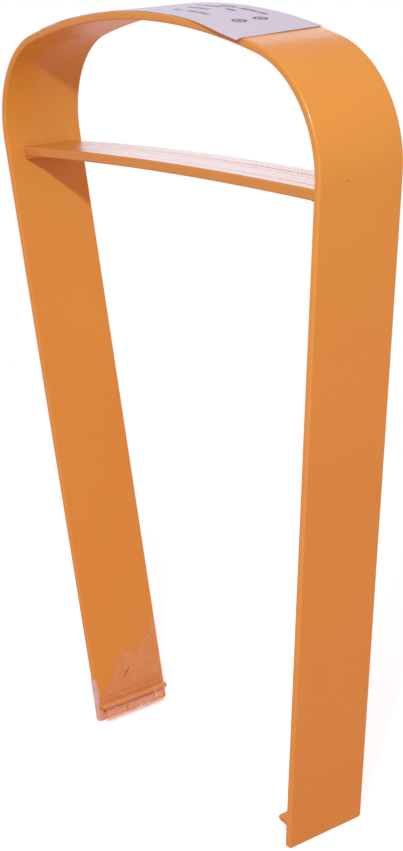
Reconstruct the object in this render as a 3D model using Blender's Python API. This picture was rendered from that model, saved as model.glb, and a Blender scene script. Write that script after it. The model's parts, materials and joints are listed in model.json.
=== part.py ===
"""Carrying clip: one flat plastic strap bent into an arch with two springy legs.

The strap stands on its two feet.  X runs across the span, Y through the strap's width
(the front edge faces -Y), and Z runs up from the feet.  The origin is on the floor,
midway between the feet.  All sizes are in metres.

A flat crossbar closes the top of the arch and makes a hand grip.  The legs below it bend
like springs, so each one turns about a flex axis a little under the crossbar.  A narrow
ledge near each foot carries the load.
"""

import math

import bmesh
import bpy
from mathutils import Vector

# ---------------------------------------------------------------- driving dimensions

STRAP_WIDTH = 0.0400         # front edge to rear edge
STRAP_THICKNESS = 0.0033
STRAP_HEIGHT = 0.3462        # floor to the top of the crown
FOOT_SPAN = 0.1550           # outside the feet
SHOULDER_SPAN = 0.2300       # outside the legs, level with the crossbar
CORNER_RADIUS = 0.0450       # outer face of each shoulder bend
CROWN_RADIUS = 0.3190        # outer face of the shallow crown
EDGE_ROUND = 0.0006          # along every long edge of the strap
FOOT_CORNER = 0.0016         # the two lower corners of each foot, seen from the side

CROSSBAR_DROP = 0.0632       # top of the crown to the crossbar's upper face, at its ends
CROSSBAR_THICKNESS = 0.0043
CROSSBAR_RISE = 0.0024       # how far its middle stands above its ends
FRONT_SETBACK = 0.0082       # strap's front edge to the crossbar's front edge
REAR_SETBACK = 0.0062        # and the same at the rear

FLEX_DROP = 0.0490           # crossbar's upper face to the axis of the leg's bend

BEAD_LENGTH = 0.0110         # cement fillet under each end, along the crossbar
BEAD_DEPTH = 0.0024          # and down the leg
BEAD_LIP = 0.0005            # thickness of its thin end
BEAD_INSET = 0.0010          # crossbar's edge to the bead's end

LEDGE_REACH = 0.0059         # leg's inner face to the ledge's nose
LEDGE_THICKNESS = 0.0030
LEDGE_FRONT_INSET = 0.0003   # strap's front edge to the ledge's front end
LEDGE_REAR_INSET = 0.0017    # strap's rear edge to the ledge's rear end
LEFT_LEDGE_HEIGHT = 0.0098   # floor to the upper face where it meets the leg
RIGHT_LEDGE_HEIGHT = 0.0130

LABEL_LENGTH = 0.1480        # across the crown
LABEL_THICKNESS = 0.0003
LABEL_LAP = 0.0032           # how far its loose corner hangs over the front edge
LAP_START = 0.0360           # where that corner begins, from the middle
LAP_RUN = 0.0140             # and the length over which it comes out

FILM_THICKNESS = 0.0003
FILM_TOP = 0.0460            # floor to its upper rear corner
FILM_SHOULDER = 0.0300       # floor to where its slanted edge turns down
FILM_WIDTH = 0.0270          # strap's rear edge to its lower front corner
FILM_TURN = 0.0222           # strap's rear edge to where its slanted edge turns down

GAP = 0.0003                 # between two pieces that are stuck together

# ---------------------------------------------------------------- colours and finishes

ORANGE = (0.72, 0.23, 0.035, 1.0)
CEMENT = (0.66, 0.20, 0.04, 1.0)
LABEL_PAPER = (0.68, 0.63, 0.74, 1.0)
CLEAR_FILM = (0.86, 0.60, 0.50, 1.0)

# ---------------------------------------------------------------- the strap's geometry

CROSSBAR_LEVEL = STRAP_HEIGHT - CROSSBAR_DROP
FLEX_LEVEL = CROSSBAR_LEVEL - FLEX_DROP
LEAN = math.atan2((SHOULDER_SPAN - FOOT_SPAN) / 2, CROSSBAR_LEVEL)
LEG_UP = Vector((math.sin(LEAN), math.cos(LEAN)))        # up the right leg, in XZ
LEG_IN = Vector((-math.cos(LEAN), math.sin(LEAN)))       # square to it, inwards
ARC_STEP = math.radians(4.0)


def leg_point(height, depth):
    """XZ point of the right leg: height is measured on its outer face, depth inwards."""
    outer = Vector((FOOT_SPAN / 2 + height * math.tan(LEAN), height))
    return outer + LEG_IN * depth


def leg_face_at(level, depth):
    """XZ point at a true level, on the face that lies depth inside the outer face."""
    point = leg_point(level, depth)
    return point - LEG_UP * ((point.y - level) / LEG_UP.y)


def bend_centres():
    """Centres of the shoulder bend and of the crown, so that leg, bend and crown touch."""
    crown = Vector((0.0, STRAP_HEIGHT - CROWN_RADIUS))
    start = leg_point(0.0, CORNER_RADIUS)
    offset = start - crown
    reach = CROWN_RADIUS - CORNER_RADIUS
    along = offset.dot(LEG_UP)
    run = -along + math.sqrt(along * along - offset.length_squared + reach * reach)
    return start + LEG_UP * run, crown


def inner_wall(level):
    """X of the strap's inner face at a level, on the straight leg or in the bend."""
    bend = bend_centres()[0]
    straight = leg_face_at(level, STRAP_THICKNESS)
    bend_start = bend - LEG_IN * (CORNER_RADIUS - STRAP_THICKNESS)
    if level <= bend_start.y:
        return straight.x
    radius = CORNER_RADIUS - STRAP_THICKNESS
    return bend.x + math.sqrt(radius * radius - (level - bend.y) ** 2)


def crown_point(run, height):
    """XZ point above the strap's outer face, at a distance run along it from the top."""
    bend, crown = bend_centres()
    offset = bend - crown
    crown_turn = math.atan2(offset.x, offset.y)
    crown_run = CROWN_RADIUS * crown_turn
    if abs(run) <= crown_run:
        turn = run / CROWN_RADIUS
        out = Vector((math.sin(turn), math.cos(turn)))
        return crown + out * (CROWN_RADIUS + height)
    turn = crown_turn + (abs(run) - crown_run) / CORNER_RADIUS
    point = bend + Vector((math.sin(turn), math.cos(turn))) * (CORNER_RADIUS + height)
    return Vector((math.copysign(point.x, run), point.y))


def arc(centre, radius, start, end, step=ARC_STEP):
    """Points along an arc, both ends included; angles are measured from +X."""
    count = max(2, math.ceil(abs(end - start) / step))
    angles = [start + (end - start) * i / count for i in range(count + 1)]
    return [centre + Vector((math.cos(a), math.sin(a))) * radius for a in angles]


def half_arch(depth, stub):
    """Right half of the arch at one depth in its wall, from the stub up to the crown."""
    bend, crown = bend_centres()
    lean_angle = math.atan2(-LEG_IN.y, -LEG_IN.x)
    join = math.atan2(bend.y - crown.y, bend.x - crown.x)
    shoulder = arc(bend, CORNER_RADIUS - depth, lean_angle, join)
    top = arc(crown, CROWN_RADIUS - depth, join, math.pi / 2, math.radians(1.5))
    return [stub + LEG_IN * depth] + shoulder + top[1:]


def mirrored(points):
    """The same outline on the other side of the middle plane."""
    return [Vector((-p.x, p.y)) for p in reversed(points)]


# ---------------------------------------------------------------- building tools

def clear_scene():
    for item in list(bpy.data.objects):
        bpy.data.objects.remove(item, do_unlink=True)


def finish(name, colour, roughness, alpha=1.0):
    """A Principled BSDF with the piece's own colour."""
    material = bpy.data.materials.new(name)
    material.use_nodes = True
    shader = material.node_tree.nodes["Principled BSDF"]
    shader.inputs["Base Color"].default_value = colour
    shader.inputs["Roughness"].default_value = roughness
    shader.inputs["Metallic"].default_value = 0.0
    shader.inputs["Alpha"].default_value = alpha
    return material


def placed(name, mesh_data, origin, material):
    """Turn a bmesh into an object whose own origin is at the given place."""
    bmesh.ops.recalc_face_normals(mesh_data, faces=mesh_data.faces)
    bmesh.ops.translate(mesh_data, verts=mesh_data.verts, vec=-origin)
    mesh = bpy.data.meshes.new(name)
    mesh_data.to_mesh(mesh)
    mesh_data.free()
    mesh.materials.append(material)
    item = bpy.data.objects.new(name, mesh)
    item.location = origin
    bpy.context.scene.collection.objects.link(item)
    return item


def plate(outline, front, rear):
    """A flat XZ outline, extruded through Y from front to rear."""
    work = bmesh.new()
    corners = [work.verts.new((p.x, front, p.y)) for p in outline]
    face = work.faces.new(corners)
    grown = bmesh.ops.extrude_face_region(work, geom=[face])
    moved = [v for v in grown["geom"] if isinstance(v, bmesh.types.BMVert)]
    bmesh.ops.translate(work, verts=moved, vec=(0.0, rear - front, 0.0))
    return work


def round_edges(item, width, segments=2):
    """Round every edge sharper than 35 degrees."""
    bevel = item.modifiers.new("rounded edges", "BEVEL")
    bevel.width = width
    bevel.segments = segments
    bevel.limit_method = "ANGLE"
    bevel.angle_limit = math.radians(35.0)
    item.data.shade_smooth()
    item.data.set_sharp_from_angle(angle=math.radians(35.0))


def loft(rings):
    """A closed solid through a row of equal rings, with flat ends."""
    work = bmesh.new()
    rows = [[work.verts.new(p) for p in ring] for ring in rings]
    count = len(rows[0])
    for low, high in zip(rows, rows[1:]):
        for i in range(count):
            j = (i + 1) % count
            work.faces.new((low[i], low[j], high[j], high[i]))
    work.faces.new(rows[0])
    work.faces.new(rows[-1])
    return work


# ---------------------------------------------------------------- the pieces

def flex_axis():
    """XZ point of the right leg's flex axis, in the middle of the wall."""
    return leg_face_at(FLEX_LEVEL, STRAP_THICKNESS / 2)


def build_arch(material):
    """Crown, both shoulders and the stub of each leg, down to just above the flex axes."""
    clearance = STRAP_THICKNESS / 2 + GAP
    stub = flex_axis() + LEG_UP * clearance - LEG_IN * (STRAP_THICKNESS / 2)
    outer = half_arch(0.0, stub)
    inner = half_arch(STRAP_THICKNESS, stub)
    outline = outer + mirrored(outer)[1:] + list(reversed(inner + mirrored(inner)[1:]))
    work = plate(outline, -STRAP_WIDTH / 2, STRAP_WIDTH / 2)
    arch = placed("strap_arch", work, Vector((0.0, 0.0, CROSSBAR_LEVEL)), material)
    round_edges(arch, EDGE_ROUND)
    return arch


def round_foot_corners(work):
    """Round the lower front and lower rear corner of a foot, seen from the side."""
    chosen = []
    for edge in work.edges:
        first, second = (v.co for v in edge.verts)
        runs_across = abs(first.y - second.y) < 1e-6 and abs(first.x - second.x) > 1e-4
        if runs_across and max(first.z, second.z) < 1e-5:
            chosen.append(edge)
    bmesh.ops.bevel(work, geom=chosen, offset=FOOT_CORNER, segments=4, profile=0.5,
                    affect="EDGES")


def build_leg(name, side, material):
    """One leg; its upper end is a half round about the flex axis, so it can turn."""
    axis = flex_axis()
    angle = math.atan2(-LEG_IN.y, -LEG_IN.x)
    knuckle = arc(axis, STRAP_THICKNESS / 2, angle, angle + math.pi, math.radians(22.5))
    foot_outer = leg_face_at(0.0, 0.0)
    foot_inner = leg_face_at(0.0, STRAP_THICKNESS)
    outline = [foot_outer] + knuckle + [foot_inner]
    if side < 0:
        outline = mirrored(outline)
    work = plate(outline, -STRAP_WIDTH / 2, STRAP_WIDTH / 2)
    round_foot_corners(work)
    leg = placed(name, work, Vector((side * axis.x, 0.0, axis.y)), material)
    round_edges(leg, EDGE_ROUND)
    return leg


def crossbar_level(x, half_length):
    """Level of the crossbar's upper face: a shallow parabola, highest in the middle."""
    share = x / half_length
    return CROSSBAR_LEVEL + CROSSBAR_RISE * (1.0 - share * share)


def crossbar_end(level):
    """Half length of the crossbar at one level: its ends follow the strap's inner face."""
    return inner_wall(level) - GAP / math.cos(LEAN)


def build_crossbar(material):
    """The hand grip: a flat bar between the legs, bowed slightly upwards."""
    steps = 24
    half = crossbar_end(CROSSBAR_LEVEL)
    half_below = crossbar_end(CROSSBAR_LEVEL - CROSSBAR_THICKNESS)
    upper = []
    lower = []
    for i in range(steps + 1):
        share = -1.0 + 2.0 * i / steps
        level = crossbar_level(share * half, half)
        upper.append(Vector((share * half, level)))
        lower.append(Vector((share * half_below, level - CROSSBAR_THICKNESS)))
    outline = upper + list(reversed(lower))
    work = plate(outline, -STRAP_WIDTH / 2 + FRONT_SETBACK, STRAP_WIDTH / 2 - REAR_SETBACK)
    bar = placed("crossbar", work, Vector((0.0, 0.0, CROSSBAR_LEVEL)), material)
    round_edges(bar, EDGE_ROUND)
    return bar


def build_bead(name, side, material):
    """Cement fillet in the corner between the crossbar's underside and the leg."""
    half = crossbar_end(CROSSBAR_LEVEL)
    under = crossbar_end(CROSSBAR_LEVEL - CROSSBAR_THICKNESS - GAP)
    top = []
    bottom = []
    steps = 6
    for i in range(steps + 1):
        share = i / steps
        x = under - share * BEAD_LENGTH
        ceiling = crossbar_level(x, half) - CROSSBAR_THICKNESS - GAP
        hang = BEAD_LIP + (BEAD_DEPTH - BEAD_LIP) * (1.0 - share) ** 2
        top.append(Vector((x, ceiling)))
        bottom.append(Vector((x, ceiling - hang)))
    bottom[0].x = crossbar_end(bottom[0].y)    # the leg leans in below the crossbar
    outline = top + list(reversed(bottom))
    if side < 0:
        outline = mirrored(outline)
    front = -STRAP_WIDTH / 2 + FRONT_SETBACK + BEAD_INSET
    rear = STRAP_WIDTH / 2 - REAR_SETBACK - BEAD_INSET
    work = plate(outline, front, rear)
    place = Vector((side * half, 0.0, CROSSBAR_LEVEL - CROSSBAR_THICKNESS))
    return placed(name, work, place, material)


def build_ledge(name, side, height, material):
    """A narrow tongue, square to the leg's inner face, with a rounded nose."""
    root = leg_face_at(height, STRAP_THICKNESS) + LEG_IN * GAP
    nose = LEDGE_THICKNESS / 2
    centre = root + LEG_IN * (LEDGE_REACH - GAP - nose) - LEG_UP * nose
    up_angle = math.atan2(LEG_UP.y, LEG_UP.x)
    tip = arc(centre, nose, up_angle, up_angle + math.pi, math.radians(30.0))
    outline = [root] + tip + [root - LEG_UP * LEDGE_THICKNESS]
    if side < 0:
        outline = mirrored(outline)
    front = -STRAP_WIDTH / 2 + LEDGE_FRONT_INSET
    rear = STRAP_WIDTH / 2 - LEDGE_REAR_INSET
    work = plate(outline, front, rear)
    ledge = placed(name, work, Vector((side * root.x, 0.0, root.y)), material)
    round_edges(ledge, EDGE_ROUND / 2, segments=1)
    return ledge


def label_front(x):
    """Front edge of the label: flush with the strap, then out over its front edge."""
    share = min(1.0, max(0.0, (x - LAP_START) / LAP_RUN))
    ease = share * share * (3.0 - 2.0 * share)
    return -STRAP_WIDTH / 2 - LABEL_LAP * ease


def build_label(material):
    """The paper label on the crown, bent to its curve."""
    steps = 40
    rear = STRAP_WIDTH / 2
    rings = []
    for i in range(steps + 1):
        run = LABEL_LENGTH * (i / steps - 0.5)
        low = crown_point(run, GAP)
        high = crown_point(run, GAP + LABEL_THICKNESS)
        front = label_front(run)
        rings.append([(low.x, front, low.y), (low.x, rear, low.y),
                      (high.x, rear, high.y), (high.x, front, high.y)])
    return placed("label", loft(rings), Vector((0.0, 0.0, STRAP_HEIGHT)), material)


def build_film(material):
    """Leftover of clear film on the left leg's inner face, above its ledge."""
    base = LEFT_LEDGE_HEIGHT + GAP * 2
    rear = STRAP_WIDTH / 2
    outline = [(rear - EDGE_ROUND, base), (rear - EDGE_ROUND, FILM_TOP),
               (rear - FILM_TURN, FILM_SHOULDER), (rear - FILM_WIDTH, base)]
    rings = []
    for depth in (STRAP_THICKNESS + GAP, STRAP_THICKNESS + GAP + FILM_THICKNESS):
        ring = []
        for y, level in outline:
            point = leg_face_at(level, depth)
            ring.append((-point.x, y, point.y))
        rings.append(ring)
    place = leg_face_at(base, STRAP_THICKNESS)
    return placed("foot_film", loft(rings), Vector((-place.x, 0.0, place.y)), material)


def build():
    clear_scene()
    plastic = finish("orange_plastic", ORANGE, 0.28)
    cement = finish("cement", CEMENT, 0.35)
    paper = finish("label_paper", LABEL_PAPER, 0.55)
    film = finish("clear_film", CLEAR_FILM, 0.25, alpha=0.35)
    build_arch(plastic)
    build_crossbar(plastic)
    build_label(paper)
    for word, side, height in (("left", -1, LEFT_LEDGE_HEIGHT),
                               ("right", 1, RIGHT_LEDGE_HEIGHT)):
        build_leg(f"{word}_leg", side, plastic)
        build_ledge(f"{word}_ledge", side, height, plastic)
        build_bead(f"{word}_cement_bead", side, cement)
    build_film(film)


build()
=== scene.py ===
# %% [markdown]
# # A carrying clip of bent orange plastic
# One strip of glossy sheet plastic is bent into an arch with two long legs. A bar cemented
# across the arch makes a hand grip, a small ledge sits inside each foot, a paper label is
# stuck on the crown, and a scrap of clear film is still round the left foot. This lesson
# builds the fine surface of each piece round the plain, already measured model, and gives
# each one a finish worked out from its own coordinates.

# %% Load the measured model
import json
import math

import bpy
import numpy as np
from mathutils import Matrix, Vector


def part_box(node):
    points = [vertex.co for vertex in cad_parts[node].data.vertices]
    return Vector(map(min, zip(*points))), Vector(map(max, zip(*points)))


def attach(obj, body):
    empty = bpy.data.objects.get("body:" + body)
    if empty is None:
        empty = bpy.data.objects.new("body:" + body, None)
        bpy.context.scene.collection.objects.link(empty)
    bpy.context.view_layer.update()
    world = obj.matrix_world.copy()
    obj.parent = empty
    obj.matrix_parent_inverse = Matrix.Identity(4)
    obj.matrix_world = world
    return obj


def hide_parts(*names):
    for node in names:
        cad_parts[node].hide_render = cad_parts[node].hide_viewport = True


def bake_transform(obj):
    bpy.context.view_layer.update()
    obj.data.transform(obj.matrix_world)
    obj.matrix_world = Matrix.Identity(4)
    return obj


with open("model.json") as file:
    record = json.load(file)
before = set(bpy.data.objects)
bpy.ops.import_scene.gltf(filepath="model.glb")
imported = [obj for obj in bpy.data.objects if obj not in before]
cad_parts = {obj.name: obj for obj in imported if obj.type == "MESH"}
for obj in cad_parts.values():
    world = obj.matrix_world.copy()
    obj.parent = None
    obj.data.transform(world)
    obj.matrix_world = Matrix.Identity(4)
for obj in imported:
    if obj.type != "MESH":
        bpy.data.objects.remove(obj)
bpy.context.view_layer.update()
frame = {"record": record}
record = frame["record"]

# %% [markdown]
# The model gives nearly every size. A box round the strap gives its width and height. The
# point under a foot and the point where a leg bends both lie in the middle of the plastic,
# so the line between them is the leg's middle, and a point on the leg's outer face is half
# a thickness from it. Only the bend radii, the rounding of the edges and the crossbar's
# thickness are written down again here, because the boxes don't hold them.

# %% Sizes
def mount(name):
    """A mount's place in the XZ plane."""
    place = next(m["pos_m"] for m in record["mounts"] if m["name"] == name)
    return np.array([place[0], place[2]])


def hinge(name):
    """A joint's place in the XZ plane."""
    joint = next(j for j in record["behaviour"]["joints"] if j["name"] == name)
    return np.array([joint["pos_m"][0], joint["pos_m"][2]])


MM = 0.001
QUARTER_TURN = math.pi / 2
CORNER_RADIUS = 45.0 * MM
CROWN_RADIUS = 319.0 * MM
EDGE_ROUND = 0.9 * MM
FOOT_CORNER = 1.6 * MM

leg_low, leg_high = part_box("right_leg")
_, arch_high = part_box("strap_arch")
bar_low, bar_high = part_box("crossbar")
WIDTH = leg_high.y - leg_low.y
HEIGHT = arch_high.z
FOOT = mount("right_foot")
FLEX = hinge("right_leg_flex")
UP = (FLEX - FOOT) / np.linalg.norm(FLEX - FOOT)
IN = np.array([-UP[1], UP[0]])
THICKNESS = 2 * abs((mount("right_leg_outer_face") - FOOT) @ IN)
BAR_THICKNESS = 4.3 * MM
BAR_RISE = bar_high.z - bar_low.z - BAR_THICKNESS
BAR_LEVEL = bar_high.z - BAR_RISE
SEAM_DROP = 6.0 * MM
SEAM_LEVEL = bar_low.z - SEAM_DROP
print(f"strap {WIDTH / MM:.1f} wide, {THICKNESS / MM:.2f} thick, {HEIGHT / MM:.1f} mm high")
print(f"legs lean {math.degrees(math.atan2(UP[0], UP[1])):.2f} degrees")

# %% [markdown]
# Every solid here is a *profile carried along a path*: a closed outline, whose points are
# stacked along two guide lines, one on the outer face and one on the inner face. The helper
# takes whole arrays, so no loop runs over points.

# %% Outlines and guide lines
def rounded_outline(width, depth, radius, steps=5, across=18, shy=0.25 * MM):
    """Points (d, y) round a rectangle with rounded corners: d goes 0..depth, y is centred.

    A corner is a quarter circle. Each flat side starts and ends with a point that lies only
    a hair away from the corner, which keeps the flat faces flat when they are shaded.
    """
    half = width / 2 - radius
    turn = np.linspace(0, QUARTER_TURN, steps + 1)
    quarter = radius * np.stack([1 - np.cos(turn), np.sin(turn)], 1)
    spread = np.concatenate([[-half + shy], np.linspace(-half + 2 * shy, half - 2 * shy, across),
                             [half - shy]])
    near = np.array([shy, (depth - 2 * radius) / 2, depth - 2 * radius - shy]) + radius
    front_low = np.stack([quarter[:, 0], -half - radius + quarter[::-1, 0]], 1)
    rear_low = front_low[::-1] * [1, -1]
    rear_high = [depth, 0] + front_low * [-1, -1]
    front_high = [depth, 0] + rear_low * [-1, -1]
    low_side = np.stack([np.zeros_like(spread), spread], 1)
    rear_side = np.stack([near, np.full(3, width / 2)], 1)
    return np.concatenate([front_low[::-1], low_side, rear_low[::-1], rear_side,
                           rear_high[::-1], low_side[::-1] + [depth, 0],
                           front_high[::-1], rear_side[::-1] * [1, -1]])


def carry(outline, depth, outer, inner, shrink=None):
    """A grid of points: the outline's d runs from outer to inner, and its y is kept.

    outer and inner are XZ guide lines of equal length. shrink, if given, takes each
    point's share of the way to inner and its y, and returns the pair that is used.
    """
    share = outline[None, :, 0:1] / depth
    y = np.broadcast_to(outline[None, :, 1], (len(outer), len(outline))).copy()
    if shrink is not None:
        share, y = shrink(np.broadcast_to(share, (len(outer), len(outline), 1)).copy(), y)
    flat = outer[:, None, :] * (1 - share) + inner[:, None, :] * share
    return np.stack([flat[..., 0], y, flat[..., 1]], -1)


# %% [markdown]
# A grid of points becomes a mesh when each cell of four points gets a face. On a solid, a
# ring of faces joins each pair of outlines, and a flat face closes each end. Whether the
# faces point outwards is measured, not guessed: the signed volume of a closed mesh is
# negative when it is inside out.

# %% Faces and pieces
SHARP_ANGLE = math.radians(40)
CUBIC_CM = 1e6                      # in a cubic metre


def grid_faces(rows, columns, closed):
    """Four corners for each cell of a grid of points; a closed grid joins up sideways."""
    r = np.arange(rows - 1)[:, None]
    c = np.arange(columns if closed else columns - 1)[None, :]
    n = (c + 1) % columns
    corners = [r * columns + c, (r + 1) * columns + c, (r + 1) * columns + n, r * columns + n]
    return np.stack(corners, -1).reshape(-1, 4)


def new_piece(name, points, faces, ends=()):
    """An object at the origin; points are in metres, and ends are extra many-sided faces."""
    mesh = bpy.data.meshes.new(name)
    faces = faces.tolist() + [end.tolist() for end in ends]
    mesh.from_pydata(points.reshape(-1, 3).tolist(), [], faces)
    mesh.update()
    piece = bpy.data.objects.new(name, mesh)
    bpy.context.scene.collection.objects.link(piece)
    volume = signed_volume(mesh)
    if volume < 0:
        mesh.flip_normals()
    mesh.shade_smooth()
    mesh.set_sharp_from_angle(angle=SHARP_ANGLE)
    print(f"{name}: {len(mesh.vertices)} points, {abs(volume) * CUBIC_CM:.3f} cubic cm")
    return piece


def signed_volume(mesh):
    """A closed mesh's volume: the sum over its triangles of a . (b x c) / 6."""
    mesh.calc_loop_triangles()
    points = np.zeros(len(mesh.vertices) * 3)
    mesh.vertices.foreach_get("co", points)
    corners = np.zeros(len(mesh.loop_triangles) * 3, np.int32)
    mesh.loop_triangles.foreach_get("vertices", corners)
    a, b, c = points.reshape(-1, 3)[corners.reshape(-1, 3)].transpose(1, 0, 2)
    return float(np.einsum("ij,ij->", a, np.cross(b, c)) / 6)


def carried_piece(name, grid):
    """A closed solid from a grid whose rows are closed outlines."""
    rows, columns = grid.shape[:2]
    first = np.arange(columns)[::-1]
    last = (rows - 1) * columns + np.arange(columns)
    return new_piece(name, grid, grid_faces(rows, columns, True), (first, last))


# %% [markdown]
# ## Shader arithmetic
# A pattern is easiest to read as a sum, so a small class wraps a node's socket and turns
# `+`, `-`, `*` and `/` into Math nodes. Any other node comes from `node`, which sets the
# node's own settings first and then its sockets.

# %% A value that varies
class Field:
    """A number or colour that varies over a surface: one socket of one shader node."""

    def __init__(self, finish, socket):
        self.finish = finish
        self.socket = socket

    def maths(self, operation, *terms, clamp=False):
        """A Math node; terms fill its sockets from the first."""
        return self.finish.node("ShaderNodeMath", dict(operation=operation, use_clamp=clamp),
                                dict(enumerate(terms)))

    def __add__(self, other):
        return self.maths("ADD", self, other)

    def __radd__(self, other):
        return self.maths("ADD", other, self)

    def __sub__(self, other):
        return self.maths("SUBTRACT", self, other)

    def __rsub__(self, other):
        return self.maths("SUBTRACT", other, self)

    def __mul__(self, other):
        return self.maths("MULTIPLY", self, other)

    def __rmul__(self, other):
        return self.maths("MULTIPLY", other, self)

    def __truediv__(self, other):
        return self.maths("DIVIDE", self, other)

    def __rtruediv__(self, other):
        return self.maths("DIVIDE", other, self)

    def __abs__(self):
        return self.maths("ABSOLUTE", self)

    def above(self, low, high):
        """0 below low, 1 above high, and a smooth step between."""
        return self.finish.node("ShaderNodeMapRange", dict(interpolation_type="SMOOTHSTEP"),
                                {"Value": self, "From Min": low, "From Max": high})

    def below(self, low, high):
        """1 below low, 0 above high, and a smooth step between."""
        return 1.0 - self.above(low, high)

    def inside(self, low, high, soft):
        """1 between low and high, with soft edges that lie outside them."""
        return self.above(low - soft, low) * self.below(high, high + soft)

    def clamped(self):
        """The value, cut off at 0 and 1."""
        return self.maths("ADD", self, 0.0, clamp=True)

    def root(self):
        """The square root."""
        return self.maths("SQRT", self)


# %% [markdown]
# A finish is one material. Whatever is the same all over the surface is set on the shader's
# own sockets, and whatever varies is a Field that is linked to them. Every pattern reads
# Object coordinates, which are metres on the finished object, so a pattern's size can be
# given in real units.

# %% A material
class Finish:
    """A material with one Principled BSDF, whose fixed values are set on its own sockets."""

    def __init__(self, name, **fixed):
        self.material = bpy.data.materials.new(name)
        self.material.use_nodes = True
        self.tree = self.material.node_tree
        self.shader = self.tree.nodes["Principled BSDF"]
        for socket, value in fixed.items():
            self.shader.inputs[socket.replace("_", " ")].default_value = value
        self.place = self.node("ShaderNodeTexCoord", output="Object")
        self.x, self.y, self.z = (
            self.node("ShaderNodeSeparateXYZ", sockets={0: self.place}, output=axis)
            for axis in "XYZ")

    def node(self, kind, settings=None, sockets=None, output=0):
        """Any node: its settings first, then its sockets, each a value or a Field."""
        made = self.tree.nodes.new(kind)
        for name, value in (settings or {}).items():
            setattr(made, name, value)
        for name, value in (sockets or {}).items():
            self.set(made.inputs[name], value)
        return Field(self, made.outputs[output])

    def set(self, socket, value):
        """Link a Field to a socket, or set a plain value on it."""
        if isinstance(value, Field):
            self.tree.links.new(value.socket, socket)
        else:
            socket.default_value = value

    def stretched(self, scale, offset=(0.0, 0.0, 0.0)):
        """Object coordinates, scaled unequally so that a pattern is stretched."""
        return self.node("ShaderNodeMapping", sockets={
            "Vector": self.place, "Scale": scale, "Location": offset})

    def noise(self, scale, detail=3.0, rough=0.5, where=None, warp=0.0):
        """Cloudy noise from 0 to 1; scale is in features per metre."""
        return self.node("ShaderNodeTexNoise", sockets={
            "Vector": where or self.place, "Scale": scale, "Detail": detail,
            "Roughness": rough, "Distortion": warp}, output="Fac")

    def specks(self, scale):
        """Distance to the nearest of many scattered points, in cells."""
        return self.node("ShaderNodeTexVoronoi", dict(feature="F1"), {
            "Vector": self.place, "Scale": scale}, output="Distance")

    def near(self, point):
        """Distance to a point, in metres."""
        return self.node("ShaderNodeVectorMath", dict(operation="DISTANCE"),
                         {0: self.place, 1: point}, output="Value")

    def stroke(self, start, end, width):
        """1 on a straight mark between two (y, z) points in millimetres, as seen along X."""
        (y0, z0), (y1, z1) = start, end
        dy, dz = (y1 - y0) * MM, (z1 - z0) * MM
        y, z = self.y - y0 * MM, self.z - z0 * MM
        share = ((y * dy + z * dz) / (dy * dy + dz * dz)).clamped()
        off_y, off_z = y - share * dy, z - share * dz
        distance = (off_y * off_y + off_z * off_z).root()
        return distance.below(width * MM * 0.3, width * MM)

    def mixed(self, share, first, second):
        """A colour between first and second."""
        made = self.tree.nodes.new("ShaderNodeMix")
        made.data_type = "RGBA"
        colours = [s for s in made.inputs if s.type == "RGBA"]
        self.set(made.inputs[0], share)
        for socket, colour in zip(colours, (first, second)):
            self.set(socket, (*colour, 1.0) if isinstance(colour, tuple) else colour)
        return Field(self, next(s for s in made.outputs if s.type == "RGBA"))

    def feed(self, colour, roughness=None, height=None, depth=None, alpha=None):
        """Link what varies: colour, roughness, alpha, and a height in units of depth."""
        for name, value in (("Base Color", colour), ("Roughness", roughness),
                            ("Alpha", alpha)):
            if value is not None:
                self.set(self.shader.inputs[name], value)
        if height is not None:
            self.set(self.shader.inputs["Normal"], self.node("ShaderNodeBump", sockets={
                "Height": height, "Distance": depth, "Strength": 1.0}, output="Normal"))
        return self.material


# %% [markdown]
# Each finished piece gets a material, and the nodes of the measured model that it stands
# for are hidden. A piece that keeps to one body is attached to that body. A leg, which
# crosses a joint, is handed two bend points, but only its transform is baked in.

# %% Dressing a piece
def wear(piece, material, body, slot, *nodes, bend=None):
    """Give a piece its material and its body, or only bake its transform if it has a bend, and
    hide the nodes it replaces. slot is not used.
    """
    piece.data.materials.append(material)
    if bend is None:
        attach(piece, body)
    else:
        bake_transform(piece)
    if nodes:
        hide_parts(*nodes)


# %% [markdown]
# ## The orange plastic
# Cast sheet has a deep, even colour under a hard, clear surface. Up close it is never quite
# even: handling leaves hair-fine scratches along the legs, dust sits in it, and the sheet is
# very slightly wavy. The cut edges are painted paler: mostly a painted highlight for the light
# that their rounded faces catch, and partly slight wear. Round the crown they are painted
# darker instead, as painted shade. The upper half is painted a little more golden, standing
# in for the stronger light that falls on it. Each of these is a faint pattern in the colour,
# the roughness or the surface height.

# %% Plastic finishes
ORANGE = (0.655, 0.246, 0.034)
PALE_ORANGE = (0.740, 0.340, 0.075)
DEEP_ORANGE = (0.620, 0.206, 0.024)
GOLDEN = (0.600, 0.265, 0.036)
CROWN_EDGE_SHADE = (0.480, 0.170, 0.036)
DUST_BUFF = (0.88, 0.62, 0.42)
NICK_BROWN = (0.25, 0.08, 0.02)
NICK = (115.6 * MM, -7.0 * MM, 287.2 * MM)
EDGE_BAND = 0.7 * MM
EDGE_SOFT = 0.6 * MM
NO_EDGE = WIDTH                     # further out than any piece reaches
WAVE_DEPTH = 0.12 * MM


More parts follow.
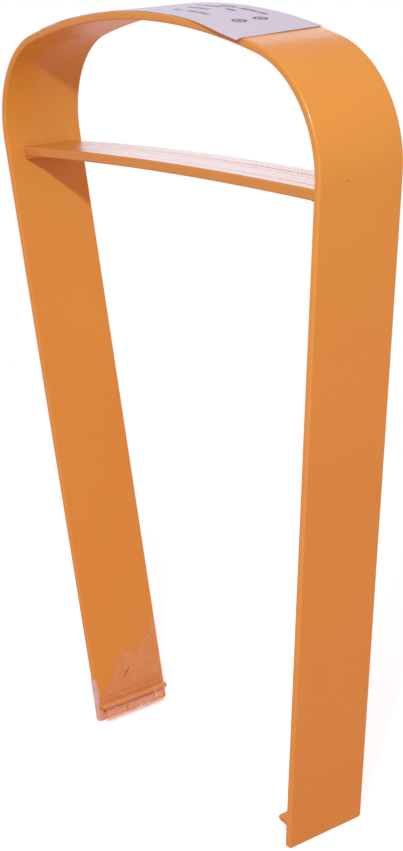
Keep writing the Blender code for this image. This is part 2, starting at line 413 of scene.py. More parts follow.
def orange_plastic(name, edge_from, stretch, tone=ORANGE, nick=None):
    """Glossy orange sheet. edge_from is the distance from the middle plane at which the
    cut edge begins, stretch is the scale of the scratches along X, Y and Z, and nick is
    the place of a small dent."""
    skin = Finish(name, IOR=1.49, Coat_Weight=0.08, Coat_Roughness=0.06,
                  Specular_IOR_Level=0.36)
    cloud = skin.noise(16.0, 2.0)
    mottle = skin.noise(190.0, 4.0, 0.6)
    fine = skin.noise(1.0, 2.0, 0.5, skin.stretched(stretch))
    hairs = fine.above(0.63, 0.72)
    dust = skin.specks(700.0).below(0.03, 0.08) * skin.noise(60.0).above(0.66, 0.76)
    edge = abs(skin.y).above(edge_from, edge_from + EDGE_SOFT)
    colour = skin.mixed(cloud.above(0.30, 0.70) * 0.30, tone, DEEP_ORANGE)
    colour = skin.mixed((mottle - 0.5).clamped() * 0.5, colour, PALE_ORANGE)
    # Painted highlight with a little wear: the cut edges are painted paler, standing in for the
    # light that their rounded faces catch.
    colour = skin.mixed(edge * 0.25, colour, PALE_ORANGE)
    # Painted shade: the cut edges round the crown are painted darker, toning down their brightly
    # lit front.
    colour = skin.mixed(edge * skin.z.above(0.26, 0.33) * 0.6, colour, CROWN_EDGE_SHADE)
    colour = skin.mixed(hairs * 0.03 + dust * 0.22, colour, DUST_BUFF)
    # Painted light: the upper half is shifted towards golden, standing in for the stronger key
    # light that falls on it.
    colour = skin.mixed(skin.z.above(0.10, 0.34) * 0.5, colour, GOLDEN)
    rough = 0.24 + mottle * 0.10 + hairs * 0.10 + dust * 0.10
    height = cloud * 1.6 + mottle * 0.05
    if nick is not None:
        mark = skin.near(nick).below(0.25 * MM, 0.75 * MM)
        colour = skin.mixed(mark * 0.5, colour, NICK_BROWN)
        height = height - mark * 0.8
    return skin.feed(colour, rough, height, WAVE_DEPTH)


strap_plastic = orange_plastic("strap_plastic", WIDTH / 2 - EDGE_BAND, (9.0, 900.0, 9.0),
                               nick=NICK)
print("made", strap_plastic.name)

# %% [markdown]
# ## The strap
# The strap is a leg, a tight shoulder bend and a shallow crown, each touching the next.
# The centre of the shoulder bend is found from that: it lies one bend radius from the leg's
# outer face, and the two radii's difference from the crown's centre. The skin is then one
# long carried outline. It is made in three lengths, the arch and the two legs: the seams lie
# just under the crossbar, on a straight stretch, where the faces on both sides are flush.
# The guide line is worked out for the right half and then mirrored.

# %% Guide lines
def leg_at(level, depth):
    """XZ points on the right leg at some levels, at a depth inside the outer face."""
    level = np.asarray(level, float)
    start = FOOT + IN * (depth - THICKNESS / 2)
    run = (level - start[1]) / UP[1]
    return start + run[:, None] * UP


CROWN = np.array([0.0, HEIGHT - CROWN_RADIUS])
offset = FOOT + IN * (CORNER_RADIUS - THICKNESS / 2) - CROWN
reach = CROWN_RADIUS - CORNER_RADIUS
rise = math.sqrt((offset @ UP) ** 2 - offset @ offset + reach ** 2) - offset @ UP
BEND = CROWN + offset + UP * rise
print("shoulder bend centre", np.round(BEND / MM, 2), "mm")


def arc(centre, radius, start, end, steps):
    """Points round a centre, from one angle to another."""
    angle = np.linspace(start, end, steps)
    return centre + radius * np.stack([np.cos(angle), np.sin(angle)], 1)


def half_guide(depth, straight_steps=7, bend_steps=40, crown_steps=50):
    """Right half of a guide line: seam, straight, shoulder bend and half the crown."""
    first = math.atan2(-IN[1], -IN[0])
    join = math.atan2(*(BEND - CROWN)[::-1])
    shoulder = arc(BEND, CORNER_RADIUS - depth, first, join, bend_steps)
    crown = arc(CROWN, CROWN_RADIUS - depth, join, QUARTER_TURN, crown_steps)
    straight = leg_at([SEAM_LEVEL], depth)
    steps = np.linspace(0, 1, straight_steps, endpoint=False)[:, None]
    return np.concatenate([straight * (1 - steps) + shoulder[:1] * steps, shoulder, crown[1:]])


def both_sides(half):
    """The half guide line and its mirror image, as one line from right to left."""
    return np.concatenate([half, (half * [-1, 1])[-2::-1]])


strap_outline = rounded_outline(WIDTH, THICKNESS, EDGE_ROUND)

# %% The arch
arch_skin = carried_piece("arch_skin", carry(
    strap_outline, THICKNESS, both_sides(half_guide(0.0)), both_sides(half_guide(THICKNESS))))
wear(arch_skin, strap_plastic, "grip", "orange_plastic", "strap_arch")

# %% [markdown]
# ## The legs
# A leg is the same outline, carried from the seam down to the foot. Near the foot the
# outline draws in along a quarter circle, which rounds the two lower corners and takes the
# sharpness off the cut. The outline is carried level, because the foot is cut level
# although the leg leans. Two points equally far above and below each leg's hinge, the upper
# one just under the seam, are worked out and handed to wear as the bend, which does not use
# them.

# %% Both legs
SEAM_MARGIN = 0.7 * MM
BEND_SPAN = (SEAM_LEVEL - SEAM_MARGIN - FLEX[1]) / UP[1]


def rounding(levels, radius):
    """How far a quarter circle of a radius lies inside its square, at levels above it."""
    missing = np.clip(radius - levels, 0, None)
    return radius - np.sqrt(np.clip(radius ** 2 - missing ** 2, 0, None))


def foot_shrink(levels):
    """How the outline draws in above the floor: a quarter circle of the corner's radius
    across the width, and a smaller one through the thickness."""
    def shrink(share, y):
        wide = 1 - rounding(levels, FOOT_CORNER) / (WIDTH / 2)
        thin = 1 - rounding(levels, EDGE_ROUND) / (THICKNESS / 2)
        return 0.5 + (share - 0.5) * thin[:, None, None], y * wide[:, None]
    return shrink


def build_leg(side):
    """One leg's points, from the floor up to the seam; side is -1 for the left leg."""
    curl = FOOT_CORNER * (1 - np.cos(np.linspace(0, QUARTER_TURN, 9)))
    levels = np.concatenate([curl, np.linspace(FOOT_CORNER, SEAM_LEVEL, 90)[1:]])
    grid = carry(strap_outline, THICKNESS, leg_at(levels, 0.0), leg_at(levels, THICKNESS),
                 foot_shrink(levels))
    return grid * [side, 1, 1]


for word, side in (("left", -1), ("right", 1)):
    leg_skin = carried_piece(f"{word}_leg_skin", build_leg(side))
    top, bottom = FLEX + UP * BEND_SPAN, FLEX - UP * BEND_SPAN
    wear(leg_skin, strap_plastic, f"{word}_leg", "orange_plastic", f"{word}_leg",
         bend=((side * top[0], 0.0, top[1]), (side * bottom[0], 0.0, bottom[1])))

# %% [markdown]
# ## The crossbar
# The bar is a strip of thicker sheet, sawn narrower than the strap and bowed a little
# upwards. Its orange is painted darker than the strap's, as painted shade that tones down its
# brightly lit front. Its top was left with fine lengthwise lines. They are shallow grooves in
# the outline itself, deep enough to break the reflection.

# %% The crossbar
# Painted shade: a darker copy of the strap's orange, which tones down the bar's brightly lit
# front.
BAR_SHADE_ORANGE = (0.530, 0.190, 0.042)
BAR_WIDTH = bar_high.y - bar_low.y
BAR_MIDDLE = (bar_low.y + bar_high.y) / 2
BAR_ROUND = 0.7 * MM
GROOVES = ((-0.30, 0.12), (0.05, 0.10), (0.19, 0.18))      # share across, and depth in mm
GROOVE_WIDTH = 0.35 * MM


def bar_guide(drop):
    """Half length and level along the bar: the level is a parabola of the bar's rise."""
    share = np.linspace(-1, 1, 71)
    level = BAR_LEVEL + BAR_RISE * (1 - share ** 2) - drop
    end = leg_at([BAR_LEVEL - drop], THICKNESS)[0, 0]
    return np.stack([share * end, level], 1)


def grooved(outline):
    """The outline with its grooves: each one lowers the top by a narrow bell curve."""
    dip = sum(depth * MM * np.exp(-((outline[:, 1] - place * BAR_WIDTH) / GROOVE_WIDTH) ** 2)
              for place, depth in GROOVES)
    on_top = outline[:, 0] < EDGE_ROUND / 2
    return outline + np.stack([dip * on_top, 0 * dip], 1)


bar_outline = grooved(rounded_outline(BAR_WIDTH, BAR_THICKNESS, BAR_ROUND, across=110))
bar_grid = carry(bar_outline, BAR_THICKNESS, bar_guide(0.0), bar_guide(BAR_THICKNESS))
bar_grid[..., 1] += BAR_MIDDLE
bar_skin = carried_piece("crossbar_skin", bar_grid)
bar_plastic = orange_plastic("bar_plastic", NO_EDGE, (9.0, 900.0, 400.0), tone=BAR_SHADE_ORANGE)
wear(bar_skin, bar_plastic, "grip", "crossbar_plastic", "crossbar")

# %% [markdown]
# ## The cement beads
# Solvent cement was run into the corner under each end of the bar and set as a small, uneven
# fillet. Its section has three sides: one on the leg, one on the bar, and a hollow free
# side. Slow waves along the bead change how far it spreads and how deep it hangs. It is
# sunk a hair into its neighbours, so that no gap shows.

# %% The beads
BEAD_LENGTH = 11.0 * MM
BEAD_LIP = 0.35 * MM
BEAD_FRONT_INSET = 0.1 * MM
BEAD_REAR_INSET = 0.6 * MM
BEAD_TURN_IN = 0.3 * MM
BEAD_END_SIZE = 0.82
SINK = 0.05 * MM


def build_bead(side, phase, depth):
    """Rows along Y, each a closed XZ section: straight along the bar's underside, and back
    on a hollow curve whose depth falls with the square of the distance from the leg."""
    low, high = bar_low.y + BEAD_FRONT_INSET, bar_high.y - BEAD_REAR_INSET
    y = np.concatenate([[low], np.linspace(low + BEAD_TURN_IN, high - BEAD_TURN_IN, 40), [high]])
    turn = (y - low) / (high - low) * 2 * math.pi
    swell = 1 + 0.16 * np.sin(1.5 * turn + phase) + 0.09 * np.sin(4.1 * turn + 2 * phase)
    swell[[0, -1]] *= BEAD_END_SIZE
    spread = (BEAD_LENGTH * (0.35 + 0.65 * swell))[:, None]
    hang = (depth * swell)[:, None]
    share = np.linspace(0, 1, 19)[None, :]
    under = leg_at([BAR_LEVEL - BAR_THICKNESS], THICKNESS)[0, 0] + SINK
    x = under - share * spread
    half = leg_at([BAR_LEVEL], THICKNESS)[0, 0]
    ceiling = BAR_LEVEL + BAR_RISE * (1 - (x / half) ** 2) - BAR_THICKNESS + SINK
    drop = SINK + (BEAD_LIP + (hang - BEAD_LIP) * (1 - share) ** 2) * np.sqrt(1 - share ** 8)
    floor_x = x - (1 - share) * drop * UP[0] / UP[1]
    section_x = np.concatenate([x, floor_x[:, ::-1]], 1) * side
    section_z = np.concatenate([ceiling, (ceiling - drop)[:, ::-1]], 1)
    return np.stack([section_x, np.broadcast_to(y[:, None], section_x.shape), section_z], -1)


# %% [markdown]
# Set cement is never clear all through: cloudy patches and tiny bubbles make it paler. The
# right bead hangs deeper than the left one.

# %% Set cement and both beads
CEMENT_DARK = (0.52, 0.150, 0.018)
CEMENT_PALE = (0.70, 0.30, 0.10)
cement = Finish("set_cement", IOR=1.47, Coat_Weight=0.5, Coat_Roughness=0.12)
cement_cloud = cement.noise(420.0, 3.0)
bubbles = cement.specks(1500.0).below(0.16, 0.26)
cement.feed(cement.mixed(cement_cloud * 0.6 + bubbles * 0.4, CEMENT_DARK, CEMENT_PALE),
            0.28 + cement_cloud * 0.2, cement_cloud - bubbles * 0.5, 0.2 * MM)
for word, side, phase, depth in (("left", -1, 0.4, 1.5 * MM), ("right", 1, 2.1, 2.5 * MM)):
    bead = carried_piece(f"{word}_bead_skin", build_bead(side, phase, depth))
    wear(bead, cement.material, "grip", "cement", f"{word}_cement_bead")

# %% [markdown]
# ## The ledges
# A narrow tongue of the same plastic is cemented square to the inside of each foot. Its
# section is a bar with a half-round nose, and a little squeezed-out cement makes a hollow
# flare where it meets the leg. The section shrinks along a quarter circle at both ends,
# so that they are rounded like the nose.

# %% The ledges
LEDGE_THICKNESS = 3.0 * MM
LEDGE_FLARE = 0.7 * MM
LEDGE_END = 1.2 * MM
LEDGE_SHY = 0.1 * MM
LEDGE_END_THIN = 0.8


def ledge_outline(length):
    """Closed section (u, v): u is the distance from the leg, and v is the height above the
    tongue's middle. The flares are hollow quarter circles, and the nose is a half circle."""
    half = LEDGE_THICKNESS / 2 - LEDGE_SHY
    turn = np.linspace(0, QUARTER_TURN, 5)
    flare = LEDGE_FLARE * np.stack([1 - np.sin(turn), 1 - np.cos(turn)], 1) + [0, half]
    nose_turn = np.linspace(QUARTER_TURN, -QUARTER_TURN, 15)
    nose = half * np.stack([np.cos(nose_turn), np.sin(nose_turn)], 1) + [length - half, 0]
    flat = np.linspace(LEDGE_FLARE, length - half, 6)[1:-1]
    top = np.stack([flat, np.full_like(flat, half)], 1)
    section = np.concatenate([flare[::-1], top, nose, (top * [1, -1])[::-1], flare * [1, -1]])
    return section - [SINK, 0]


def build_ledge(side, node):
    """The section's rows along Y, on the leg's inner face at the tongue's own height."""
    low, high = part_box(node)
    tip = high.x if side < 0 else -low.x
    middle = (low.z + high.z) / 2
    face = leg_at([middle], THICKNESS)[0]
    length = -(face[0] + tip) / IN[0]
    section = ledge_outline(length)
    curl = np.linspace(0, QUARTER_TURN, 7)
    start, draw_in = LEDGE_END * (1 - np.cos(curl)), LEDGE_END * (1 - np.sin(curl))
    between = np.linspace(low.y + LEDGE_END, high.y - LEDGE_END, 30)[1:-1]
    y = np.concatenate([low.y + start, between, high.y - start[::-1]])
    draw = np.concatenate([draw_in, 0 * between, draw_in[::-1]])[:, None]
    u = section[None, :, 0] - draw * (section[None, :, 0] > length / 2)
    v = section[None, :, 1] * (1 - draw / (LEDGE_THICKNESS / 2) * LEDGE_END_THIN)
    place = face + u[..., None] * IN + v[..., None] * UP
    y = np.broadcast_to(y[:, None], u.shape)
    return np.stack([place[..., 0] * side, y, place[..., 1]], -1)


ledge_plastic = orange_plastic("ledge_plastic", NO_EDGE, (400.0, 9.0, 400.0))
for word, side in (("left", -1), ("right", 1)):
    ledge = carried_piece(f"{word}_ledge_skin", build_ledge(side, f"{word}_ledge"))
    wear(ledge, ledge_plastic, f"{word}_leg", "orange_plastic", f"{word}_ledge")

# %% [markdown]
# ## The label
# A strip of pale lilac paper follows the crown. It was stuck on slightly askew, so towards
# one end it runs out over the front edge, where nothing holds it and it droops. It is a
# thin sheet whose two faces are the same surface at two heights. A small wave along the
# edges and a lifted end keep it from looking moulded on.

# %% The label
LABEL_RUN = 148.0 * MM
PAPER = 0.22 * MM
LABEL_LIFT = 0.06 * MM
LABEL_INSET = 0.8 * MM
LABEL_SKEW = 3.0 * MM
LAP, LAP_START, LAP_RUN = 2.9 * MM, 26.0 * MM, 46.0 * MM
DROOP = 0.5 * MM
WAVE = 0.05 * MM
CURL, CURL_START, CURL_RUN = 0.12 * MM, 68.0 * MM, 6.0 * MM


def eased(share):
    """0 to 1 with a smooth start and finish."""
    share = np.clip(share, 0, 1)
    return share * share * (3 - 2 * share)


def label_surface(run, across, lift):
    """Points on the crown's circle at an arc length and a share of the label's width,
    raised by lift plus a wave, and lowered where the paper has nothing under it."""
    front = -WIDTH / 2 + LABEL_INSET - (LAP + LABEL_INSET) * eased((run - LAP_START) / LAP_RUN)
    skew = (across - 0.5) * LABEL_SKEW * eased(run / LABEL_RUN + 0.5)
    y = front + across * (WIDTH / 2 - front)
    wave = WAVE * (np.sin(run * 210 + across * 3) + np.sin(across * 17 + run * 90))
    curl = CURL * eased((run - CURL_START) / CURL_RUN) * eased((across - 0.15) / 0.6)
    droop = DROOP * np.clip((-WIDTH / 2 - y) / LAP, 0, 1) ** 1.5
    radius = CROWN_RADIUS + lift + curl - droop + np.maximum(wave, 0)
    angle = (run - skew) / CROWN_RADIUS
    return np.stack([radius * np.sin(angle), y, CROWN[1] + radius * np.cos(angle)], -1)


def sheet_piece(name, upper, lower):
    """A closed thin sheet from the grids of points of its two faces: a ring of faces round
    the rim joins them."""
    rows, columns = upper.shape[:2]
    index = np.arange(rows * columns).reshape(rows, columns)
    rim = np.concatenate([index[0, :-1], index[:-1, -1], index[-1, :0:-1], index[:0:-1, 0]])
    ring = np.roll(rim, -1)
    offset = rows * columns
    cells = grid_faces(rows, columns, False)
    faces = np.concatenate([cells, cells[:, ::-1] + offset,
                            np.stack([rim, ring, ring + offset, rim + offset], 1)])
    return new_piece(name, np.stack([upper, lower]), faces)


run, across = np.meshgrid(np.linspace(-LABEL_RUN / 2, LABEL_RUN / 2, 150),
                          np.linspace(0, 1, 44), indexing="ij")
label_skin = sheet_piece("label_skin", label_surface(run, across, LABEL_LIFT + PAPER),
                         label_surface(run, across, LABEL_LIFT))

# %% [markdown]
# The print is generic: rows of short dark dashes that stand for words, and two round
# marks. A row is a stripe in Y, broken up by stretched noise: a fine noise makes the
# letters, and a coarse one makes the gaps between the words.

# %% Label paper
PAPER_LILAC = (0.510, 0.482, 0.515)
PAPER_PALE = (0.57, 0.54, 0.57)
INK = (0.04, 0.035, 0.06)
# Each row: from x, to x, y of its middle, and height, in millimetres.
ROWS = ((14.0, 37.0, -7.6, 1.7), (10.0, 26.0, 1.0, 1.9), (7.0, 26.0, 9.0, 1.8),
        (18.0, 41.0, 12.8, 2.2), (29.0, 35.0, 6.8, 1.8), (42.0, 48.0, 12.8, 2.4))
# Each mark: x and y of its middle, and radius, in millimetres.
MARKS = ((53.2, -5.0, 2.9), (53.2, 5.1, 2.9))

paper = Finish("label_paper", IOR=1.45, Specular_IOR_Level=0.25)
fibres = paper.noise(1.0, 4.0, 0.6, paper.stretched((300.0, 1200.0, 300.0)))
tint = paper.noise(28.0, 2.0)
fine = paper.noise(1.0, 2.0, 0.6, paper.stretched((900.0, 500.0, 0.0)))
coarse = paper.noise(1.0, 0.0, 0.5, paper.stretched((160.0, 90.0, 0.0), (3.0, 1.0, 0.0)))
letters, words = fine.above(0.38, 0.44), coarse.above(0.36, 0.42)


def dash_row(x_start, x_end, y_middle, size):
    """One row of dashes between two X values, as high as its letters would be."""
    row = paper.y.inside((y_middle - size / 2) * MM, (y_middle + size / 2) * MM, 0.25 * MM)
    return row * paper.x.inside(x_start * MM, x_end * MM, 0.4 * MM) * letters * words


def round_mark(x_middle, y_middle, radius):
    """A ring with a blot in it, from the distance to the mark's middle."""
    dx = (paper.x - x_middle * MM) / (radius * MM)
    dy = (paper.y - y_middle * MM) / (radius * MM)
    distance = (dx * dx + dy * dy).root()
    ring = distance.inside(0.70, 1.0, 0.08)
    blot = distance.below(0.30, 0.50) * (0.5 + letters * 0.5)
    return ring + blot


ink = sum(dash_row(*row) for row in ROWS) + sum(round_mark(*mark) for mark in MARKS)
ink = ink.clamped()
paper_colour = paper.mixed(tint * 0.35 + fibres * 0.15, PAPER_LILAC, PAPER_PALE)
paper_colour = paper.mixed(ink * 0.95, paper_colour, INK)
paper.feed(paper_colour, 0.50 + fibres * 0.15, fibres + ink * 0.2, 0.04 * MM)
wear(label_skin, paper.material, "grip", "label_paper", "label")
print("printed", len(ROWS), "rows and", len(MARKS), "marks")

# %% [markdown]
# ## The scrap of film
# A little clear packing film is still stuck round the left foot. It lies on the inner face,
# drapes over the ledge and hangs from the ledge's nose almost to the floor. The sheet is
# worked out across the foot and down one path: along the leg, over the tongue and down.
# Ridged waves crumple it.

# %% The film
FILM = 0.06 * MM
FILM_LIFT = 0.02 * MM
FILM_FLOOR = 0.15 * MM
FILM_FRONT, FILM_WIDTH = -19.4 * MM, 39.3 * MM
FILM_CRUMPLE = 0.32 * MM
TUCK, TUCK_LEVEL, TUCK_RUN = 5.0 * MM, 9.5 * MM, 4.0 * MM
# The path: distance from the leg's inner face, and level, in millimetres.
DRAPE = np.array([(0.10, 47.0), (0.10, 11.4), (0.7, 10.35), (1.6, 10.05), (4.6, 10.15),
                  (5.6, 9.8), (6.15, 9.0), (6.2, 7.6), (6.1, 6.2), (5.7, 4.4), (5.2, 2.8),
                  (4.9, 1.5)]) * MM
# The torn upper edge: y, and how far down the path it lies, in millimetres.
FILM_EDGE = np.array([(-19.4, 36.3), (-17.5, 35.0), (-15.4, 33.1), (-12.5, 31.0), (-8.3, 26.4),
                      (-6.9, 20.8), (-5.2, 16.1), (-2.6, 13.8), (1.2, 16.6), (4.4, 17.6),
                      (7.1, 16.9), (12.3, 12.5), (15.8, 7.4), (18.7, 0.7), (20.0, 0.2)]) * MM


def crumple(a, b, size):
    """A crumpled height: sharp folds from the absolute values of slanting waves."""
    folds = (np.abs(np.sin(a * 430 + b * 260 + 1.3)) + np.abs(np.sin(a * 240 - b * 520 + 0.4))
             + 0.6 * np.abs(np.sin(a * 900 + b * 700)))
    return size * folds / 2.6


def film_surface(across, down, lift):
    """Points of the film: across runs from the front to the rear, and down from the torn
    upper edge to the lower one; lift is the distance off the draped path. Under the ledge
    the rear edge is tucked in."""
    y = FILM_FRONT + across * FILM_WIDTH
    corners = np.concatenate([[0], np.cumsum(np.hypot(*np.diff(DRAPE, axis=0).T))])
    start = np.interp(y, FILM_EDGE[:, 0], FILM_EDGE[:, 1]) + crumple(y, 0 * y, 0.8 * MM)
    length = start + (corners[-1] - start) * down
    out, level = (np.interp(length, corners, DRAPE[:, i]) for i in (0, 1))
    y = y - TUCK * eased(across * 2 - 1) * eased((TUCK_LEVEL - level) / TUCK_RUN)
    raised = lift + crumple(y, length, FILM_CRUMPLE) * eased(down * 8) + FILM_LIFT
    flat = leg_at([0.0], THICKNESS)[0] + (out + raised)[..., None] * IN
    flat = flat + (level / UP[1])[..., None] * UP
    return np.stack([-flat[..., 0], y, np.maximum(flat[..., 1], FILM_FLOOR)], -1)


across, down = np.meshgrid(np.linspace(0, 1, 90), np.linspace(0, 1, 110), indexing="ij")
film_skin = sheet_piece("film_skin", film_surface(across, down, FILM),
                        film_surface(across, down, 0.0))

# %% [markdown]
# The film's front edge was torn off round the leg's cut edge, and it is whiter there. It is
# a second sheet in three strips: a short one on the outer face, one across the leg's
# thickness, and a ragged one on the inner face.

# %% The torn edge
TORN_FOOT, TORN_HEIGHT = 0.2 * MM, 21.5 * MM
TORN_LAP = 1.2 * MM
TORN_LIFT = 0.05 * MM
OUTER_SHARE, INNER_SHARE = 0.4, 0.6       # where the strips meet


def torn_surface(around, level, lift):
    """The film's torn front edge: it turns round the leg's front edge, from the outer face
    to the inner face, and reaches further in the lower it is."""
    z = TORN_FOOT + TORN_HEIGHT * level
    reach_in = (0.3 + 2.2 * (1 - level) ** 1.4) * MM + crumple(z, 0 * z, 1.1 * MM)
    turn = (around - OUTER_SHARE) / (INNER_SHARE - OUTER_SHARE)
    behind = np.clip(OUTER_SHARE - around, 0, None) / OUTER_SHARE * TORN_LAP
    ahead = np.clip(around - INNER_SHARE, 0, None) / (1 - INNER_SHARE) * reach_in
    y = -WIDTH / 2 + behind + ahead
    side_lift = np.clip(2 * turn - 1, -1, 1)
    raised = lift + crumple(y, z, 0.22 * MM) + TORN_LIFT
    depth = THICKNESS * eased(turn) + raised * side_lift
    flat = leg_at([0.0], 0.0)[0] + depth[..., None] * IN + (z / UP[1])[..., None] * UP
    y = y - raised * (1 - np.abs(side_lift)) * 1.5
    return np.stack([-flat[..., 0], y, np.maximum(flat[..., 1], FILM_FLOOR)], -1)


around, level = np.meshgrid(np.linspace(0, 1, 60), np.linspace(0, 1, 80), indexing="ij")
torn_skin = sheet_piece("torn_film_skin", torn_surface(around, level, FILM),
                        torn_surface(around, level, 0.0))

# %% [markdown]
# Clear film is seen only where it is creased, torn or dirty. So its alpha is nearly zero,
# and rises on creases, specks and grit. Where it hangs loose under the ledge its alpha rises
# too and it is painted bright orange: painted light that fills the ledge's shadow on the
# foot. A few brown hairs are caught under it. A hair or a crease is a straight stroke between
# two points, and so is one tiny white dot, a painted glint.

# %% Film finishes
FILM_PINK = (0.84, 0.46, 0.42)
TORN_PINK = (0.92, 0.78, 0.80)
FILM_WHITE = (0.97, 0.90, 0.88)
# Painted light: the bright orange of the film under the ledge, which fills the ledge's shadow on
# the foot.
LEDGE_SHADOW_FILL_ORANGE = (0.92, 0.50, 0.30)
HAIR_BROWN = (0.22, 0.07, 0.02)
FILL_LOW, FILL_HIGH = 6.8 * MM, 8.8 * MM
# Ends of each stroke as (y, z), in millimetres.
HAIRS = (((-2.6, 33.1), (-0.2, 32.3)), ((0.6, 22.1), (-1.1, 20.6)),
         ((-1.1, 20.6), (-2.5, 18.7)), ((-6.7, 6.9), (-7.0, 4.7)))
# The last, tiny stroke is no crease: it is a painted glint, a white dot where the film catches
# the light.
CREASES_AND_GLINT = (((10.2, 9.0), (10.6, 6.0)), ((-1.0, 1.8), (1.9, 4.9)), ((0.8, 1.9), (4.9, 4.2)),
           ((-7.6, 1.9), (-6.8, 2.7)), ((16.3, 15.0), (16.5, 15.4)))
HAIR_WIDTH, CREASE_WIDTH = 0.30, 0.36


def film_finish(name, haze, colour, edge_haze=0.0):
    """Clear film: haze is its alpha where it is clean, and edge_haze is added on the leg's
    front edge."""
    film = Finish(name, IOR=1.45, Specular_IOR_Level=0.6)
    crease = 1.0 - (abs(film.noise(230.0, 3.0, 0.6, warp=0.6) - 0.5) * 9.0).clamped()
    spots = film.specks(420.0).below(0.10, 0.22)
    grit = film.noise(1400.0, 2.0, 0.6).above(0.55, 0.70)
    blush = film.noise(75.0, 2.0)
    hairs = sum(film.stroke(*hair, HAIR_WIDTH) for hair in HAIRS).clamped()
    # Whitened creases, and in the last, tiny stroke a painted glint.
    folds = sum(film.stroke(*fold, CREASE_WIDTH) for fold in CREASES_AND_GLINT).clamped()
    # Painted light: under the ledge the film is painted bright orange and made less clear,
    # filling the ledge's shadow.
    ledge_shadow_fill = film.z.below(FILL_LOW, FILL_HIGH)
    tone = film.mixed((crease * 0.5 + spots * 0.5).clamped(), colour, FILM_WHITE)
    tone = film.mixed(ledge_shadow_fill, tone, LEDGE_SHADOW_FILL_ORANGE)
    tone = film.mixed(folds, tone, FILM_WHITE)
    tone = film.mixed(hairs, tone, HAIR_BROWN)
    see = haze + blush * haze + (crease + grit * 0.8) * haze * 1.6 + spots * 0.10
    see = see + ledge_shadow_fill * (0.38 + grit * 0.24) + folds * 0.5 + hairs * 0.6
    if edge_haze:
        see = see + (0.0 - film.y).above(WIDTH / 2 - EDGE_SOFT, WIDTH / 2) * edge_haze
    return film.feed(tone, 0.18 + blush * 0.25, crease + blush, 0.3 * MM, see.clamped())


clear_film = film_finish("clear_film", 0.022, FILM_PINK)
torn_film = film_finish("torn_film", 0.09, TORN_PINK, edge_haze=0.14)
wear(film_skin, clear_film, "left_leg", "clear_film", "foot_film")
wear(torn_skin, torn_film, "left_leg", "clear_film")
print("film with", len(HAIRS), "hairs and", len(CREASES_AND_GLINT), "creases")

# %% [markdown]
# ## The camera
# The camera looks down at the object from its front right corner, and is rolled a few
# degrees. Its three axes come from two angles and the roll, and it stands back from the aim
# along the third one. It is close, so the clip's far leg looks clearly smaller.

# %% The camera
CAMERA_AZIMUTH = math.radians(55.62)
CAMERA_ELEVATION = math.radians(17.62)
CAMERA_ROLL = math.radians(-3.75)
CAMERA_AIM = Vector((0.0325, -0.0202, 0.1800))
CAMERA_DISTANCE = 0.6604
LENS_RATIO = 1595.6 / 851           # focal length over the long side of the frame


def camera_axes(azimuth, elevation, roll):
    """Right, up and backward directions of a camera that looks down at the object."""
    back = Vector((math.sin(azimuth) * math.cos(elevation),
                   -math.cos(azimuth) * math.cos(elevation), math.sin(elevation)))
    right = Vector((math.cos(azimuth), math.sin(azimuth), 0.0))
    up = back.cross(right)
    return (math.cos(roll) * right + math.sin(roll) * up,
            -math.sin(roll) * right + math.cos(roll) * up, back)


right, up, back = camera_axes(CAMERA_AZIMUTH, CAMERA_ELEVATION, CAMERA_ROLL)
camera = bpy.data.objects.new("camera", bpy.data.cameras.new("camera"))
camera.data.lens = camera.data.sensor_width * LENS_RATIO
camera.data.clip_start = 0.01
camera.matrix_world = Matrix.Translation(CAMERA_AIM + back * CAMERA_DISTANCE) @ Matrix(
    (right, up, back)).transposed().to_4x4()
bpy.context.scene.collection.objects.link(camera)
bpy.context.scene.camera = camera
print(f"lens {camera.data.lens:.1f} mm")

# %% [markdown]
# ## The lamps
# A small, slightly cool key lamp from the front right gives the bar its shadow on the far
# leg. A wide window behind the object is there for its reflection, which turns the top of
# the crossbar nearly white.

# %% The lamps
KEY_COOL = (0.74, 1.0, 1.28)
WINDOW_COOL = (0.48, 0.88, 1.14)


def softbox(name, place, aim, size, watts, colour):
    """A rectangular area light that faces a point."""
    lamp = bpy.data.lights.new(name, "AREA")
    lamp.shape = "RECTANGLE"
    lamp.size, lamp.size_y = size
    lamp.energy = watts
    lamp.color = colour
    light = bpy.data.objects.new(name, lamp)
    light.location = place
    light.rotation_mode = "QUATERNION"
    light.rotation_quaternion = (Vector(aim) - Vector(place)).to_track_quat("-Z", "Y")
    bpy.context.scene.collection.objects.link(light)
    print(f"{name}: {watts} W")


softbox("key", (0.60, -0.52, 0.76), (0.0, 0.0, 0.26), (0.045, 0.045), 6.2, KEY_COOL)
softbox("back_window", (-1.6, 1.1, 0.86), (0.0, 0.0, 0.30), (1.5, 0.75), 7.5, WINDOW_COOL)

# %% [markdown]
# ## The room
# The room is white to the camera. The light that it gives is weaker and warmer, which keeps
# the background clean, leaves the lamps in charge of the object's shading, and gives the
# shadows on the orange plastic their reddish depth.

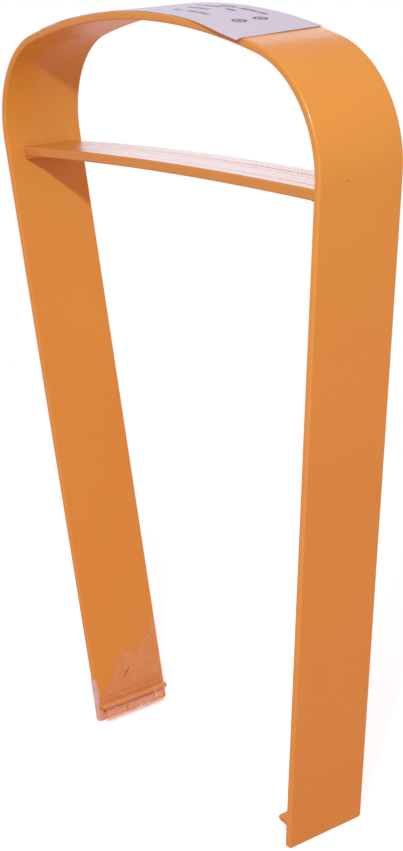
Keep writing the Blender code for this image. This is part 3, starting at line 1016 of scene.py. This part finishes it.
# %% The room
ROOM_LIGHT = 0.82
ROOM_TONE = (1.0, 0.70, 0.66, 1.0)
WHITE = (1.0, 1.0, 1.0, 1.0)
world = bpy.data.worlds.new("white_room")
world.use_nodes = True
sky = world.node_tree
rays = sky.nodes.new("ShaderNodeLightPath")
tone = sky.nodes.new("ShaderNodeMix")
tone.data_type = "RGBA"
tone.inputs["A"].default_value = ROOM_TONE
tone.inputs["B"].default_value = WHITE
sky.links.new(rays.outputs["Is Camera Ray"], tone.inputs["Factor"])
sky.links.new(tone.outputs["Result"], sky.nodes["Background"].inputs["Color"])
level = sky.nodes.new("ShaderNodeMapRange")
level.inputs["To Min"].default_value = ROOM_LIGHT
level.inputs["To Max"].default_value = 1.0
sky.links.new(rays.outputs["Is Camera Ray"], level.inputs["Value"])
sky.links.new(level.outputs["Result"], sky.nodes["Background"].inputs["Strength"])
bpy.context.scene.world = world
bpy.context.scene.view_settings.view_transform = "Standard"
print("room light", ROOM_LIGHT)

# %% [markdown]
# The floor is a plain pale sheet that fades out in a circle round the object, so it has no
# visible edge. It catches a faint shadow. It throws no light back, because the room already
# lights the object from below.

# %% The floor
FLOOR_HALF = 1.2
FADE_START, FADE_END = 0.16, 0.55
FLOOR_GREY = (0.72, 0.84, 0.86)
FLOOR_GREY_DEEP = (0.70, 0.82, 0.84)
corners = [(-FLOOR_HALF, -FLOOR_HALF, 0.0), (FLOOR_HALF, -FLOOR_HALF, 0.0),
           (FLOOR_HALF, FLOOR_HALF, 0.0), (-FLOOR_HALF, FLOOR_HALF, 0.0)]
floor_mesh = bpy.data.meshes.new("floor")
floor_mesh.from_pydata(corners, [], [(0, 1, 2, 3)])
floor = bpy.data.objects.new("floor", floor_mesh)
bpy.context.scene.collection.objects.link(floor)
pale = Finish("pale_floor", Roughness=0.9, Specular_IOR_Level=0.1,
              Emission_Color=WHITE, Emission_Strength=0.46)
far = (pale.x * pale.x + pale.y * pale.y).root()
pale.feed(pale.mixed(pale.noise(4.0, 2.0) * 0.4, FLOOR_GREY, FLOOR_GREY_DEEP),
          alpha=far.below(FADE_START, FADE_END))
floor.data.materials.append(pale.material)
floor.visible_diffuse = False
floor.visible_glossy = False
print("floor", 2 * FLOOR_HALF, "m square")
